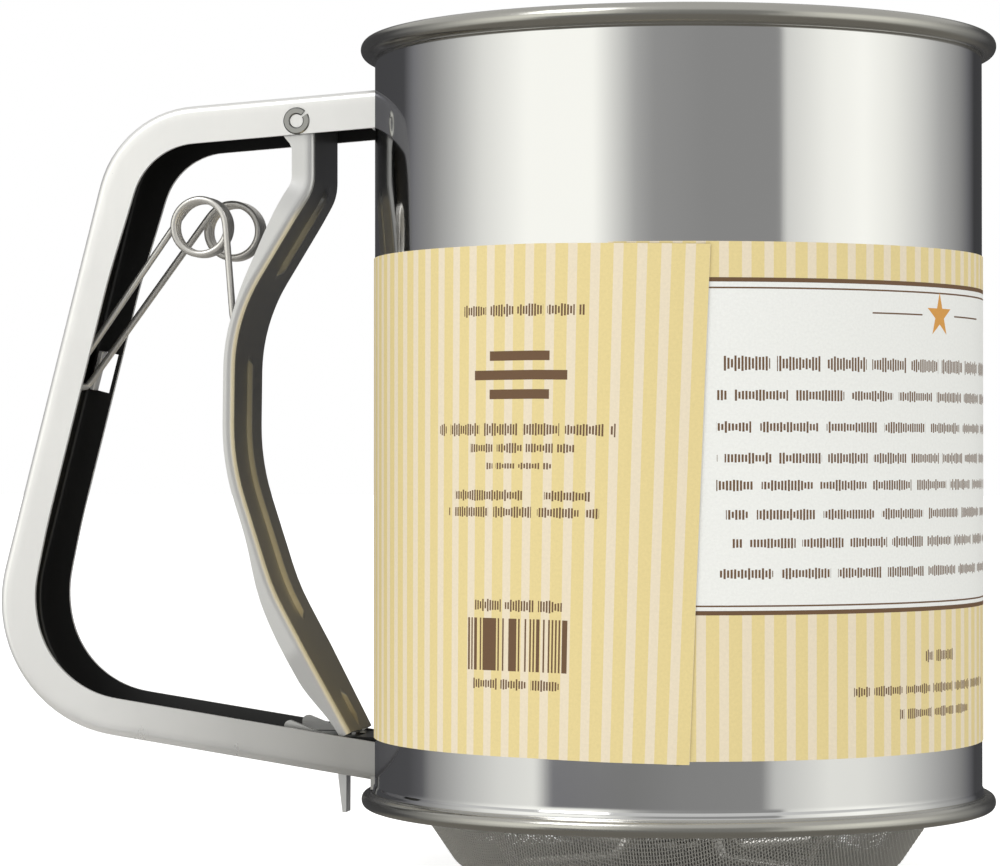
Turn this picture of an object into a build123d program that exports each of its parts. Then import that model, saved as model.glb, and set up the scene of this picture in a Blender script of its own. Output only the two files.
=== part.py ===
from build123d import *
import math
import os

# Hand-squeeze flour sifter. Millimetres, +Z up. The origin is on the cup's axis, on the
# surface that the sieve stands on. The handle points to -X and lies in the plane Y = 0.

os.makedirs("parts", exist_ok=True)

# ---- cup -------------------------------------------------------------------------------
overall_height = 138.7
body_radius = 50.8
body_wall = 0.5
rim_bead = 1.65
base_bead = 1.3
base_bead_reach = 1.0
shell_flange = 0.5
flange_reach = 1.6

# ---- sieve -----------------------------------------------------------------------------
sieve_drop = 10.3
sieve_floor_radius = 36.4
sieve_brim_radius = 44.2
mesh_thickness = 0.6

# ---- handle channel --------------------------------------------------------------------
handle_width = 20.0
handle_sheet = 0.75
handle_depth = 6.4
upper_arm_drop = 8.1
upper_reach = 44.2
upper_fall = 3.0
lower_arm_rise = 4.3
lower_reach = 70.6
lower_rise = 10.6
upper_corner = 18.0
lower_corner = 23.0
window_height = 7.0
window_width = 2.8
window_inset = 2.1
window_rise = 0.1
tab_drop = 6.0
web_slot_start = 4.2
web_slot_extra = 5.0

# ---- trigger lever ---------------------------------------------------------------------
pivot_reach = 12.6
pivot_inset = 4.15
roll_pin_radius = 2.3
roll_pin_bore = 1.1
eye_wall = 0.65
lever_sheet = 0.7
lever_width = 20.4
lever_end_width = 17.6
lever_taper = 0.136
lever_bend = 0.3897
lever_shoulder = 0.2923
lever_end_gap = 3.9
lever_bulge = 23.4
lever_flange_top = 3.9
lever_flange = 1.8
tongue_width = 3.3
squeeze_angle = 9.0

# ---- drive link and agitator -----------------------------------------------------------
link_sheet = 0.9
link_width = 13.8
ear_height = 4.0
ear_low_end = 1.3
ear_length = 7.0
ear_reach = 15.5
link_shoulder = 24.8
crank_throw = 12.0
crank_pin_radius = 1.5
axle_radius = 2.0
hub_radius = 3.2
crank_sheet = 1.2
agitator_wire = 1.0
agitator_arms = 4

# ---- crossbar, label, spring -----------------------------------------------------------
crossbar_width = 12.0
crossbar_sheet = 1.0
crossbar_turn = 7.7
crossbar_flange = 8.1
rivet_radius = 0.9
rivet_head = 1.2
label_height = 80.3
label_thickness = 0.25
spring_wire = 0.6
spring_coil = 4.7
coil_length = 5.4
coil_gap = 3.0

# ---- fits ------------------------------------------------------------------------------
running = 0.05
loose = 0.3
slot_play = 0.5


# ---- helpers ---------------------------------------------------------------------------
def unit(a, b):
    """Direction from point a to point b, both (x, z)."""
    length = math.dist(a, b)
    return ((b[0] - a[0]) / length, (b[1] - a[1]) / length)


def parallel(points, gap):
    """Corners of the polyline that runs gap to the left of an open polyline."""
    runs = [unit(a, b) for a, b in zip(points, points[1:])]
    result = [(points[0][0] - runs[0][1] * gap, points[0][1] + runs[0][0] * gap)]
    for corner, before, after in zip(points[1:], runs, runs[1:]):
        share = gap / (1 + before[0] * after[0] + before[1] * after[1])
        across = (-before[1] - after[1], before[0] + after[0])
        result.append((corner[0] + across[0] * share, corner[1] + across[1] * share))
    last = points[-1]
    result.append((last[0] - runs[-1][1] * gap, last[1] + runs[-1][0] * gap))
    return result


def parallel_radii(points, radii, gap):
    """Corner radii of the parallel polyline: smaller inside a turn, larger outside it."""
    result = []
    for a, b, c, radius in zip(points, points[1:], points[2:], radii):
        before = unit(a, b)
        after = unit(b, c)
        turn = before[0] * after[1] - before[1] * after[0]
        result.append(radius - math.copysign(1, turn) * gap)
    return result


def band(points, radii, gap):
    """Face between a filleted polyline and the one that runs gap to its left, in XZ."""
    other = parallel(points, gap)
    near = FilletPolyline(*points, radius=radii)
    far = FilletPolyline(*other, radius=parallel_radii(points, radii, gap))
    ends = Line(points[0], other[0]) + Line(points[-1], other[-1])
    return Plane.XZ * make_face(near + far + ends)


def across(face, half_width):
    """Extrude a face in XZ the same distance to both sides."""
    return extrude(face, half_width, both=True)


def slab(low, high):
    """Box between two corners."""
    size = [b - a for a, b in zip(low, high)]
    middle = [(a + b) / 2 for a, b in zip(low, high)]
    return Pos(*middle) * Box(*size)


def disc(radius, bottom, top, x=0.0, y=0.0):
    """Upright cylinder between two heights."""
    return Pos(x, y, (bottom + top) / 2) * Cylinder(radius, top - bottom)


def ring(outer, inner, bottom, top):
    """Upright tube between two heights."""
    return disc(outer, bottom, top) - disc(inner, bottom - 1, top + 1)


def rod(start, end, radius):
    """Round bar from one point to another."""
    start = Vector(*start)
    along = Vector(*end) - start
    foot = Plane(origin=start, z_dir=along)
    return extrude(foot * Circle(radius), along.length)


def save(name, shape):
    shape.label = name
    export_step(shape, f"parts/{name}.step")


# ---- worked-out places -----------------------------------------------------------------
inner_radius = body_radius - body_wall
bead_z = sieve_drop + base_bead
mesh_top = bead_z + 0.5
mesh_bottom = mesh_top - mesh_thickness
flange_radius = body_radius + flange_reach

upper_wall = (-body_radius, overall_height - upper_arm_drop)
upper_turn = (-body_radius - upper_reach, upper_wall[1] - upper_fall)
lower_wall = (-body_radius, sieve_drop + lower_arm_rise)
lower_turn = (-body_radius - lower_reach, lower_wall[1] + lower_rise)
upper_slope = upper_fall / upper_reach
lower_slope = lower_rise / lower_reach
back_slope = (upper_turn[0] - lower_turn[0]) / (upper_turn[1] - lower_turn[1])
inside = 6.0
handle_corners = [
    (upper_wall[0] + inside, upper_wall[1] + inside * upper_slope),
    upper_turn,
    lower_turn,
    (lower_wall[0] + inside, lower_wall[1] - inside * lower_slope),
]
handle_radii = [upper_corner, lower_corner]

pivot_x = -body_radius - pivot_reach
pivot_z = upper_wall[1] - pivot_reach * upper_slope - pivot_inset
eye_radius = roll_pin_radius + eye_wall

ear_outer = -body_radius - ear_reach
ear_inner = ear_outer + ear_length
lever_arm = pivot_z - sieve_drop - 10.4
link_stroke = lever_arm * math.radians(squeeze_angle)
link_far_end = ear_outer - link_stroke
web_under_link = lower_wall[1] + (-body_radius - link_far_end) * lower_slope + handle_sheet
link_bottom = web_under_link + slot_play
link_top = link_bottom + link_sheet
wall_slot_top = link_top + 0.25
label_bottom = wall_slot_top + 0.05

lever_end = (-body_radius - lever_end_gap, link_top + 1.4)
lever_span = pivot_z - lever_end[1]

crank_half_angle = math.degrees(math.asin(link_stroke / 2 / crank_throw))
crank_x = crank_throw * math.sin(math.radians(crank_half_angle))
crank_y = crank_throw * math.cos(math.radians(crank_half_angle))
crank_top = link_bottom - 0.7
crank_bottom = crank_top - crank_sheet
pin_head_bottom = link_top + loose
pin_head_top = pin_head_bottom + 0.8
crossbar_bottom = pin_head_top + 1.9
crossbar_top = crossbar_bottom + crossbar_sheet
washer_height = 0.8
hub_top = crossbar_bottom - washer_height - 0.2
hub_bottom = mesh_thickness + 5.4


# ---- cup -------------------------------------------------------------------------------
def slot_for_link():
    half = link_width / 2 + 0.7
    low = (-body_radius - 4, -half, link_bottom - loose)
    return slab(low, (-inner_radius + 4, half, wall_slot_top))


def rivet_places():
    """Turn and height of the two rivets that hold the crossbar."""
    height = label_bottom + rivet_head - 0.5
    return [(90 + crossbar_turn, height), (-90 + crossbar_turn, height)]


def rivet_bar(turn, height, near, far, radius):
    """Round bar that points outwards from the cup's axis."""
    c = math.cos(math.radians(turn))
    s = math.sin(math.radians(turn))
    return rod((c * near, s * near, height), (c * far, s * far, height), radius)


def rivet_shanks():
    return [rivet_bar(t, h, inner_radius - 3, body_radius + 1.5, rivet_radius) for t, h in rivet_places()]


def body_shell():
    curl_r = body_radius + rim_bead - 0.9
    curl_z = overall_height - rim_bead
    wall = Pos((inner_radius + body_radius) / 2, (mesh_top + curl_z - 1.2) / 2) * Rectangle(
        body_wall, curl_z - 1.2 - mesh_top
    )
    curl = Pos(curl_r, curl_z) * (Circle(rim_bead) - Circle(rim_bead - body_wall))
    curl -= Pos(body_radius + 0.35, curl_z - rim_bead + 0.25) * Rectangle(0.7, 1.0)
    foot_low = (inner_radius + flange_radius) / 2
    foot = Pos(foot_low, mesh_top + shell_flange / 2) * Rectangle(flange_radius - inner_radius, shell_flange)
    shell = revolve(Plane.XZ * (wall + curl + foot), Axis.Z)
    shell -= slot_for_link()
    for shank in rivet_shanks():
        shell -= shank
    return shell


def base_ring():
    bead = Pos(body_radius + base_bead_reach, bead_z) * Circle(base_bead)
    groove_height = mesh_thickness + shell_flange
    groove = Pos(flange_radius - 5, mesh_bottom + groove_height / 2) * Rectangle(10, groove_height)
    return revolve(Plane.XZ * (bead - groove), Axis.Z)


def sieve_mesh():
    outline = [
        (0, 0),
        (sieve_floor_radius, 0),
        (sieve_brim_radius, mesh_bottom),
        (flange_radius, mesh_bottom),
    ]
    other = parallel(outline, mesh_thickness)
    radii = [4.0, 2.5]
    near = FilletPolyline(*outline, radius=radii)
    far = FilletPolyline(*other, radius=parallel_radii(outline, radii, mesh_thickness))
    ends = Line(outline[0], other[0]) + Line(outline[-1], other[-1])
    return revolve(Plane.XZ * make_face(near + far + ends), Axis.Z)


def label_sleeve():
    sleeve = ring(body_radius + label_thickness, body_radius, label_bottom, label_bottom + label_height)
    for turn, height in rivet_places():
        sleeve -= rivet_bar(turn, height, inner_radius, body_radius + 2, rivet_head + loose)
    return sleeve


# ---- crossbar and axle -----------------------------------------------------------------
def crossbar():
    long_box = Box(2 * body_radius, crossbar_width, 400)
    plate = disc(inner_radius, crossbar_bottom, crossbar_top)
    flanges = ring(inner_radius, inner_radius - crossbar_sheet, crossbar_top - crossbar_flange, crossbar_top)
    bar = Rot(0, 0, 90 + crossbar_turn) * ((plate + flanges) & long_box)
    bar -= disc(axle_radius, crossbar_bottom - 1, crossbar_top + 1)
    for shank in rivet_shanks():
        bar -= shank
    return bar


def crossbar_rivets():
    rivets = []
    for turn, height in rivet_places():
        shank = rivet_bar(turn, height, inner_radius - crossbar_sheet - 0.3, body_radius + 0.3, rivet_radius)
        outside = rivet_bar(turn, height, body_radius - 0.5, body_radius + 0.5, rivet_head)
        outside -= disc(body_radius, 0, overall_height)
        inner_face = inner_radius - crossbar_sheet
        inside_head = rivet_bar(turn, height, inner_face - 0.7, inner_face + 0.3, rivet_head + 0.6)
        inside_head &= disc(inner_face, 0, overall_height)
        rivets.append((shank + outside + inside_head).solid())
    return Compound(children=rivets)


def axle_pin():
    head = disc(axle_radius + 2, crossbar_top, crossbar_top + 1.2)
    return head + disc(axle_radius, mesh_thickness + 2.4, crossbar_top + 0.1)


def push_nut():
    bottom = mesh_thickness + 3.0
    return ring(axle_radius + 2, axle_radius, bottom, bottom + 0.8)


def top_washer():
    bottom = hub_top + 0.1
    return ring(axle_radius + 2.2, axle_radius + 0.1, bottom, crossbar_bottom)


def bottom_washer():
    top = hub_bottom - 0.1
    return ring(axle_radius + 2.2, axle_radius + 0.1, top - washer_height, top)


# ---- handle ----------------------------------------------------------------------------
def back_x(z):
    """Outer face of the handle's back at a height."""
    return upper_turn[0] - (upper_turn[1] - z) * back_slope


def spring_window():
    """The window lanced in one side of the handle's back, and its tab, bent in beside the spring."""
    middle_z = spring_foot()[1] + window_height / 2 + window_rise
    place = Pos(back_x(middle_z), 0, middle_z) * Rot(0, math.degrees(math.atan(back_slope)), 0)
    outside = handle_width / 2
    face = outside - handle_sheet
    window = slab(
        (window_inset, face - 1, -window_height / 2),
        (window_inset + window_width, outside + 1, window_height / 2),
    )
    tab = slab(
        (window_inset, face - window_width, -window_height / 2),
        (window_inset + handle_sheet, outside, window_height / 2),
    )
    return place * window, place * tab


def handle_channel():
    whole = across(band(handle_corners, handle_radii, handle_depth), handle_width / 2)
    inner_corners = parallel(handle_corners, handle_sheet)
    inner_radii = parallel_radii(handle_corners, handle_radii, handle_sheet)
    hollow = band(inner_corners, inner_radii, handle_depth)
    channel = whole - across(hollow, handle_width / 2 - handle_sheet)
    channel -= disc(body_radius, 0, overall_height)
    tab = ring(body_radius + handle_sheet, body_radius, 0, overall_height)
    half = handle_width / 2
    tab_reach = -body_radius - 2 * handle_sheet
    top_zone = slab((tab_reach, -half, upper_wall[1] - tab_drop), (0, half, upper_wall[1] - 0.2))
    low_zone = slab((tab_reach, -half, bead_z + base_bead + running), (0, half, lower_wall[1] + 0.6))
    channel += (tab & top_zone) + (tab & low_zone)
    tongue_half = tongue_width / 2 + loose
    first = -body_radius - web_slot_start
    last = first - link_stroke - web_slot_extra
    channel -= slab((last, -tongue_half, 0), (first, tongue_half, link_top))
    window, tab = spring_window()
    channel = (channel - window) + tab
    channel -= Pos(pivot_x, 0, pivot_z) * Rot(90, 0, 0) * Cylinder(roll_pin_radius, 2 * handle_width)
    return channel.solid()


def roll_pin():
    length = handle_width + 0.6
    tube = Cylinder(roll_pin_radius, length) - Cylinder(roll_pin_bore, length + 2)
    seam = Pos(0, roll_pin_radius, 0) * Box(0.5, 2 * roll_pin_radius, length + 2)
    seam = Rot(0, 0, -35) * seam
    return Pos(pivot_x, 0, pivot_z) * Rot(90, 0, 0) * (tube - seam)


# ---- trigger ---------------------------------------------------------------------------
def lever_height(share):
    """Height of a point that lies a share of the way from the lever's end to its pivot."""
    return lever_end[1] + share * lever_span


def lever_bends(top):
    """Radii of the lever's four bends, as shares of the distance from its end to its pivot."""
    return [lever_span * share for share in (top, lever_shoulder, lever_bend, lever_bend)]


def lever_web():
    """Corners and radii of the web's face towards the cup, from the eye downwards."""
    top_x = pivot_x + eye_radius - 0.1
    bulge_x = -body_radius - lever_bulge
    corners = [
        (top_x, pivot_z),
        (top_x, lever_height(0.888)),
        (bulge_x, lever_height(0.673)),
        (bulge_x - 0.3, lever_height(0.44)),
        (bulge_x + 6.6, lever_height(0.2306)),
        lever_end,
    ]
    return corners, lever_bends(0.0779)


def lever_edge():
    """Corners and radii of the flanges' free edge, from the eye downwards."""
    top_x = pivot_x + eye_radius - 0.1
    bulge_x = -body_radius - lever_bulge
    corners = [
        (top_x - lever_flange_top, pivot_z),
        (top_x - lever_flange_top, lever_height(0.845)),
        (bulge_x - lever_flange, lever_height(0.635)),
        (bulge_x - lever_flange - 0.2, lever_height(0.42)),
        (bulge_x + 4.7 - lever_flange, lever_height(0.2306)),
        (lever_end[0] - 1.2, lever_end[1]),
    ]
    return corners, lever_bends(0.0195)


def lever_front(trim):
    """The lever seen from the cup, with each side moved in by trim, in YZ."""
    top = lever_height(0.93)
    wide = lever_height(0.84)
    taper = lever_height(lever_taper)
    half_top = handle_width / 2 - handle_sheet - 0.15 - trim
    half = lever_width / 2 - trim
    half_end = lever_end_width / 2 - trim
    side = [(half_end, lever_end[1]), (half, taper), (half, wide), (half_top, top)]
    side.append((half_top, pivot_z + eye_radius + 1))
    mirrored = [(-y, z) for y, z in reversed(side)]
    return extrude(Plane.YZ * make_face(Polyline(*side, *mirrored, close=True)), 200, both=True)


def lever_tongue():
    x, z = lever_end
    points = [(x - 0.2, z + 0.8), (x - 0.6, link_top), (x - 2.4, lower_wall[1] + 0.6), (x - 2.0, sieve_drop - 2.1)]
    other = parallel(points, -lever_sheet)
    face = make_face(Polyline(*points, *reversed(other), close=True))
    return across(Plane.XZ * face, tongue_width / 2)


def trigger_lever():
    web, web_radii = lever_web()
    edge, edge_radii = lever_edge()
    web_line = FilletPolyline(*web, radius=web_radii)
    edge_line = FilletPolyline(*edge, radius=edge_radii)
    ends = Line(web[0], edge[0]) + Line(web[-1], edge[-1])
    side = Plane.XZ * make_face(web_line + edge_line + ends)
    eye = Plane.XZ * Pos(pivot_x, pivot_z) * Circle(eye_radius)
    tall = [(web[0][0], pivot_z + 10)] + web[1:] + [(web[-1][0] + 2, web[-1][1] - 4)]
    inner = parallel(tall, -lever_sheet)
    inner_line = FilletPolyline(*inner, radius=parallel_radii(tall, web_radii + [1.0], -lever_sheet))
    far = -body_radius - 60
    back = Polyline(inner[0], (far, inner[0][1]), (far, inner[-1][1]), inner[-1])
    hollow = Plane.XZ * make_face(inner_line + back)
    lever = (across(side, 30) + across(eye, 30)) & lever_front(0)
    lever -= across(hollow, 30) & lever_front(lever_sheet)
    lever += lever_tongue()
    hole = Cylinder(roll_pin_radius + running, 2 * handle_width)
    lever -= Pos(pivot_x, 0, pivot_z) * Rot(90, 0, 0) * hole
    return lever.solid()


# ---- torsion spring --------------------------------------------------------------------
def coil_middle(side):
    """The near coil sits a little further from the cup than the far one."""
    return (-body_radius - 28.9 + side * 1.3, pivot_z - 17.5)


def spring_foot():
    """Where the spring's bridge bears on the inside of the handle's back."""
    z = coil_middle(0)[1] - 27.0
    leg = 0.9 * spring_wire
    lean = math.hypot(1, back_slope)
    return (back_x(z) + (handle_sheet + leg + running) * lean, z)


def torsion_spring():
    foot_x, foot_z = spring_foot()
    leg = 0.9 * spring_wire
    bridge_half = handle_width / 2 - handle_sheet - window_width - leg - loose
    wire = None
    for side in (-1, 1):
        x, z = coil_middle(side)
        low, high = sorted((side * coil_gap, side * (coil_gap + coil_length)))
        tube = Cylinder(spring_coil + spring_wire, high - low) - Cylinder(spring_coil - spring_wire, 20)
        coil = Pos(x, (low + high) / 2, z) * Rot(90, 0, 0) * tube
        inner_y = side * (coil_gap + spring_wire)
        outer_y = side * (coil_gap + coil_length - spring_wire)
        leg_top = (x - 0.83 * spring_coil, inner_y, z + 0.56 * spring_coil)
        handle_leg = rod(leg_top, (foot_x, side * bridge_half, foot_z), leg)
        trigger_end = (-body_radius - lever_bulge - 1.0, outer_y, z - 15.5)
        trigger_leg = rod((x + spring_coil, outer_y, z), trigger_end, leg)
        half = coil + handle_leg + trigger_leg
        wire = half if wire is None else wire + half
    bridge = rod((foot_x, -bridge_half, foot_z), (foot_x, bridge_half, foot_z), leg)
    knuckles = [Pos(foot_x, y, foot_z) * Sphere(leg) for y in (-bridge_half, bridge_half)]
    return (wire + bridge + knuckles[0] + knuckles[1]).solid()


# ---- drive link ------------------------------------------------------------------------
def drive_link():
    half = link_width / 2
    arm_low = hub_radius + 2.2
    arm_high = crank_throw + crank_pin_radius + 2.4
    arm_end = crank_x + crank_pin_radius + slot_play + 2.2
    shoulder = -body_radius + link_shoulder
    neck = -crank_throw - 2.0
    plan = Polyline(
        (ear_outer, -half),
        (shoulder, -half),
        (neck, arm_low),
        (arm_end, arm_low),
        (arm_end, arm_high),
        (neck, arm_high),
        (shoulder, half),
        (ear_outer, half),
        close=True,
    )
    strip = extrude(Plane.XY.offset(link_bottom) * make_face(plan), link_sheet)
    slot_low = crank_y - crank_pin_radius - loose
    slot_high = crank_throw + crank_pin_radius + loose
    reach = crank_pin_radius + slot_play
    strip -= slab((crank_x - reach, slot_low, 0), (crank_x + reach, slot_high, 100))
    hole_half = tongue_width / 2 + loose
    hole_x = lever_end[0] - 0.95
    strip -= slab((hole_x - 1.7, -hole_half, 0), (hole_x + 1.7, hole_half, 100))
    ear_line = FilletPolyline(
        (ear_outer, link_bottom),
        (ear_outer, link_bottom + ear_height),
        (ear_inner, link_bottom + ear_low_end),
        (ear_inner, link_bottom),
        radius=[1.0, 0.3],
    )
    ear = Plane.XZ * make_face(ear_line + Line((ear_inner, link_bottom), (ear_outer, link_bottom)))
    for side in (-1, 1):
        strip += Pos(0, side * (half - link_sheet / 2), 0) * across(ear, link_sheet / 2)
    return strip.solid()


# ---- agitator --------------------------------------------------------------------------
def agitator_loop():
    """One bent wire: out of the hub, down along the sieve, up its side and back."""
    gap = mesh_thickness + agitator_wire + 1.0
    run_z = mesh_thickness + agitator_wire + 0.9
    low_hub = hub_bottom + 2.3
    top_z = crank_bottom - agitator_wire - 2.3
    start = hub_radius - 1.0
    lean = (sieve_brim_radius - sieve_floor_radius) / mesh_bottom
    low_r = sieve_floor_radius - gap - 0.6
    high_r = min(sieve_brim_radius - gap, low_r + (top_z - run_z) * lean)
    points = [(start, low_hub), (8.6, low_hub), (12.4, run_z), (low_r, run_z), (high_r, top_z), (start, top_z)]
    path = Plane.XZ * FilletPolyline(*points, radius=[2.5, 2.5, 3.0, 3.0])
    foot = Plane(origin=path @ 0, z_dir=path % 0)
    return sweep(foot * Circle(agitator_wire), path=path)


def agitator_wires():
    step = 360 / agitator_arms
    return [Rot(0, 0, step / 2 + step * k) * agitator_loop() for k in range(agitator_arms)]


def agitator_hub(wires):
    hub = ring(hub_radius, axle_radius + running, hub_bottom, hub_top)
    for wire in wires:
        hub -= wire
    return hub


def crank_plate():
    plate = disc(hub_radius + 2.2, crank_bottom, crank_top)
    plate += disc(crank_pin_radius + 1.8, crank_bottom, crank_top, crank_x, crank_y)
    angle = math.degrees(math.atan2(crank_y, crank_x))
    arm = Box(crank_throw, 5.6, crank_sheet)
    plate += Rot(0, 0, angle) * Pos(crank_throw / 2, 0, (crank_bottom + crank_top) / 2) * arm
    plate -= disc(hub_radius, 0, 100)
    return plate - disc(crank_pin_radius, 0, 100, crank_x, crank_y)


def crank_pin():
    shank = disc(crank_pin_radius, crank_bottom, pin_head_top, crank_x, crank_y)
    return shank + disc(crank_pin_radius + 1.4, pin_head_bottom, pin_head_top, crank_x, crank_y)


# ---- write every piece -----------------------------------------------------------------
save("body_shell", body_shell())
save("base_ring", base_ring())
save("sieve_mesh", sieve_mesh())
save("label_sleeve", label_sleeve())
save("crossbar", crossbar())
save("crossbar_rivets", crossbar_rivets())
save("axle_pin", axle_pin())
save("push_nut", push_nut())
save("top_washer", top_washer())
save("bottom_washer", bottom_washer())
save("handle_channel", handle_channel())
save("roll_pin", roll_pin())
save("trigger_lever", trigger_lever())
save("torsion_spring", torsion_spring())
save("drive_link", drive_link())
wires = agitator_wires()
save("agitator_hub", agitator_hub(wires))
for number, wire in enumerate(wires, 1):
    save(f"agitator_wire_{number}", wire)
save("crank_plate", crank_plate())
save("crank_pin", crank_pin())

print("pivot", round(pivot_x, 3), round(pivot_z, 3))
print("link stroke", round(link_stroke, 3), "link heights", round(link_bottom, 3), round(link_top, 3))
print("crank swing", round(2 * crank_half_angle, 3))
print("label from", round(label_bottom, 3))
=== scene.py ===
"""Looks of the hand-squeeze flour sifter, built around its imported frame."""
import math

import bmesh
import bpy
import mathutils
import numpy as np
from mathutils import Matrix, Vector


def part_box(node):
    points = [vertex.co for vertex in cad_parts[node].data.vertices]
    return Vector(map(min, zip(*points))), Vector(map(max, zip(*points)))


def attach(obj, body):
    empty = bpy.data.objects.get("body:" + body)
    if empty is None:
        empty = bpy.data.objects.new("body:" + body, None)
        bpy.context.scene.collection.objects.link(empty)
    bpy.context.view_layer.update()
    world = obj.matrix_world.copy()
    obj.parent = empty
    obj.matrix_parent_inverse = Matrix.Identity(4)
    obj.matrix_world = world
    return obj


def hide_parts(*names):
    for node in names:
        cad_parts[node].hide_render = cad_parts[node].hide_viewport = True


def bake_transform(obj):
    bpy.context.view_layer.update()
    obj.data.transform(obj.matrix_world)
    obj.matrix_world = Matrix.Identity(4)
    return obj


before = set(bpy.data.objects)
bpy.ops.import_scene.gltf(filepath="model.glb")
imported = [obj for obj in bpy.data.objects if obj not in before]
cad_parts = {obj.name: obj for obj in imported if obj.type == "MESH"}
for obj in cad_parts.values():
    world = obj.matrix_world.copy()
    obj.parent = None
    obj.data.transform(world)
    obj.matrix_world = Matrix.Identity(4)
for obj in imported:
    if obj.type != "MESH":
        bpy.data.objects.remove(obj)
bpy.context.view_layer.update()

MM = 0.001


# ---- places read from the frame, in millimetres ----
def corners(node):
    """Lowest and highest corner of a node of the frame, in millimetres."""
    low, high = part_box(node)
    return np.array(low) / MM, np.array(high) / MM


shell_high = corners("body_shell")[1]
ring_low, ring_high = corners("base_ring")
paper_low, paper_high = corners("label_sleeve")
handle_low, handle_high = corners("handle_channel")
pin_low, pin_high = corners("roll_pin")
hub_low = corners("agitator_hub")[0]
arm_high = corners("agitator_wire_1")[1]
link_low = corners("drive_link")[0]
rivet_low, rivet_high = corners("crossbar_rivets")

height = shell_high[2]
paper_radius = paper_high[0]
cup_radius = paper_radius - 0.25
wall = 0.5
bead_radius = (ring_high[2] - ring_low[2]) / 2
bead_z = (ring_high[2] + ring_low[2]) / 2
bead_reach = ring_high[0] - bead_radius
rim_radius = 1.65
link_sheet = 0.9
lever_end = np.array([-cup_radius - 3.9, link_low[2] + link_sheet + 1.4])
window_inset, window_width, window_half = 2.1, 2.8, 3.5
pivot = np.array([(pin_low[0] + pin_high[0]) / 2, (pin_low[2] + pin_high[2]) / 2])


# ---- camera ----
def place_camera():
    """A long lens a little to the handle's right, level with the middle of the cup."""
    turn = math.radians(10.7)
    aside, away, eye = 29.8, 588.5, 68.3
    tilt = math.atan(0.00777)
    data = bpy.data.cameras.new("camera")
    data.lens = 126.0
    data.sensor_width = 36.0
    data.clip_start = 0.01
    camera = bpy.data.objects.new("camera", data)
    right = np.array([math.cos(turn), math.sin(turn), 0.0])
    ahead = np.array([-math.sin(turn), math.cos(turn), 0.0])
    spot = -(aside * right + away * ahead) + np.array([0.0, 0.0, eye])
    camera.location = spot * MM
    camera.rotation_euler = (math.pi / 2 + tilt, 0.0, turn)
    bpy.context.scene.collection.objects.link(camera)
    bpy.context.scene.camera = camera


place_camera()


# ---- mesh helpers ----
def make_piece(name, points, faces, smooth_angle=35.0, uv=None, slots=None, materials=()):
    """A mesh object from points in millimetres and quads or triangles, faces turned outwards.

    It is shaded smooth up to an angle between faces."""
    mesh = bpy.data.meshes.new(name)
    corner_lists = [tuple(face) for face in np.asarray(faces).tolist()]
    mesh.from_pydata((np.asarray(points, float) * MM).tolist(), [], corner_lists)
    for material in materials:
        mesh.materials.append(material)
    if uv is not None:
        layer = mesh.uv_layers.new(name="UVMap")
        index = np.empty(len(mesh.loops), np.int32)
        mesh.loops.foreach_get("vertex_index", index)
        layer.data.foreach_set("uv", np.asarray(uv, np.float32)[index].ravel())
    if slots is not None:
        mesh.polygons.foreach_set("material_index", np.asarray(slots, np.int32))
    if len(mesh.polygons) > 1:
        shell = bmesh.new()
        shell.from_mesh(mesh)
        bmesh.ops.recalc_face_normals(shell, faces=shell.faces)
        shell.to_mesh(mesh)
        shell.free()
    mesh.polygons.foreach_set("use_smooth", np.ones(len(mesh.polygons), bool))
    mesh.set_sharp_from_angle(angle=math.radians(smooth_angle))
    mesh.update()
    return linked(name, mesh)


def grid_faces(rows, columns, wrap_rows=False, wrap_columns=False):
    """Quads of a grid of points numbered row by row; either way round may close on itself."""
    i = np.arange(rows if wrap_rows else rows - 1)
    j = np.arange(columns if wrap_columns else columns - 1)
    i, j = np.meshgrid(i, j, indexing="ij")
    i2, j2 = (i + 1) % rows, (j + 1) % columns
    quads = np.stack([i * columns + j, i * columns + j2, i2 * columns + j2, i2 * columns + j], -1)
    return quads.reshape(-1, 4)


def shell_faces(rows, columns):
    """Faces of a closed sheet made of two like grids of points: both skins and the rim between."""
    total = rows * columns
    skin = grid_faces(rows, columns)
    index = np.arange(total).reshape(rows, columns)
    rim = np.concatenate([index[:, 0], index[-1, 1:], index[-2::-1, -1], index[0, -2:0:-1]])
    after = np.roll(rim, -1)
    edge = np.stack([rim, rim + total, after + total, after], 1)
    return np.concatenate([skin, skin[:, ::-1] + total, edge])


def arc(centre, radius, start, stop, count):
    """Points on a circle from one angle to another, in degrees."""
    t = np.radians(np.linspace(start, stop, count))
    return np.stack([centre[0] + radius * np.cos(t), centre[1] + radius * np.sin(t)], 1)


def rounded(points, radii, step=6.0):
    """A polyline with each inner corner replaced by an arc that touches both of its runs."""
    points = np.asarray(points, float)
    out = [points[:1]]
    for before, corner, after, radius in zip(points, points[1:], points[2:], radii):
        a = (before - corner) / np.linalg.norm(before - corner)
        b = (after - corner) / np.linalg.norm(after - corner)
        half = math.acos(np.clip(a @ b, -1, 1)) / 2
        bisector = (a + b) / np.linalg.norm(a + b)
        centre = corner + bisector * radius / math.sin(half)
        first = corner + a * radius / math.tan(half)
        start = math.atan2(*(first - centre)[::-1])
        cross = a[0] * b[1] - a[1] * b[0]
        sweep = math.copysign(math.pi - 2 * half, cross) * -1.0
        count = max(3, int(abs(math.degrees(sweep)) / step) + 1)
        t = start + np.linspace(0, sweep, count)
        out.append(np.stack([centre[0] + radius * np.cos(t), centre[1] + radius * np.sin(t)], 1))
    out.append(points[-1:])
    return np.concatenate(out)


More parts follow.
